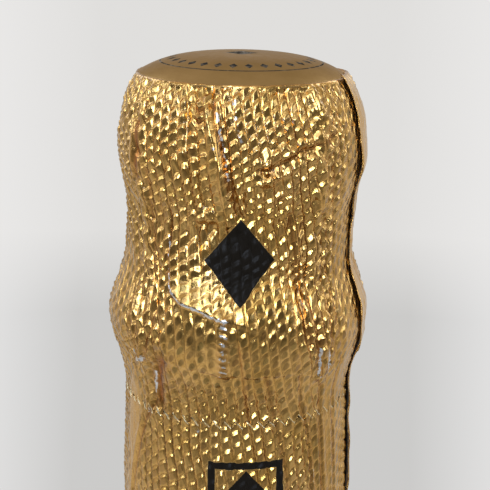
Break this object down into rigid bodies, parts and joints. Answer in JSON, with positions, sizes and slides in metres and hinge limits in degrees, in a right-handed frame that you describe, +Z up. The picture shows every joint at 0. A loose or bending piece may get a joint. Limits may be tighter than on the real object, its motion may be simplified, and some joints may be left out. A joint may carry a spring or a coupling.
{
  "type": "champagne bottle",
  "caption": "Sealed sparkling wine bottle with punt, corked and wired, its neck wrapped in embossed gold foil with a smooth domed foil disc on top.",
  "frame": {"origin": "middle of the standing ring's flat underside, on the bottle's axis", "axes": "+Z up along the bottle's axis; -Y to the front, where the front label is; +X to the right of someone who faces the front"},
  "size_m": [0.0884, 0.0894, 0.3228],
  "materials": {
    "glass": "gloss",
    "wine": "gloss",
    "cork": "matte",
    "natural_cork": "matte",
    "plaque": "satin",
    "cage_wire": "satin",
    "foil": "gloss",
    "foil_disc": "satin",
    "label_paper": "matte",
    "neck_paper": "satin"
  },
  "bodies": {
    "bottle": {"glass_bottle": "glass", "wine": "wine", "capsule_sleeve": "foil", "front_label": "label_paper", "back_label": "label_paper", "neck_label": "neck_paper"},
    "cork": {"cork_body": "cork", "cork_disc_upper": "natural_cork", "cork_disc_lower": "natural_cork"},
    "muselet": {"muselet_plaque": "plaque", "muselet_wire_1": "cage_wire", "muselet_wire_2": "cage_wire", "muselet_wire_3": "cage_wire", "muselet_wire_4": "cage_wire", "muselet_belt": "cage_wire"},
    "capsule": {"capsule_skirt": "foil", "capsule_disc": "foil_disc"}
  },
  "joints": [
    {"name": "cork_pull", "type": "slide", "parent": "bottle", "child": "cork", "axis": [0, 0, 1], "range_m": [0, 0.06], "deforming": ["muselet_belt", "muselet_wire_1", "muselet_wire_2", "muselet_wire_3", "muselet_wire_4"]},
    {"name": "muselet_lift", "type": "slide", "parent": "cork", "child": "muselet", "axis": [0, 0, 1], "range_m": [0, 0.06], "deforming": ["muselet_belt", "muselet_wire_1", "muselet_wire_2", "muselet_wire_3", "muselet_wire_4"]},
    {"name": "capsule_lift", "type": "slide", "parent": "muselet", "child": "capsule", "axis": [0, 0, 1], "range_m": [0, 0.07], "deforming": ["capsule_skirt"]}
  ]
}
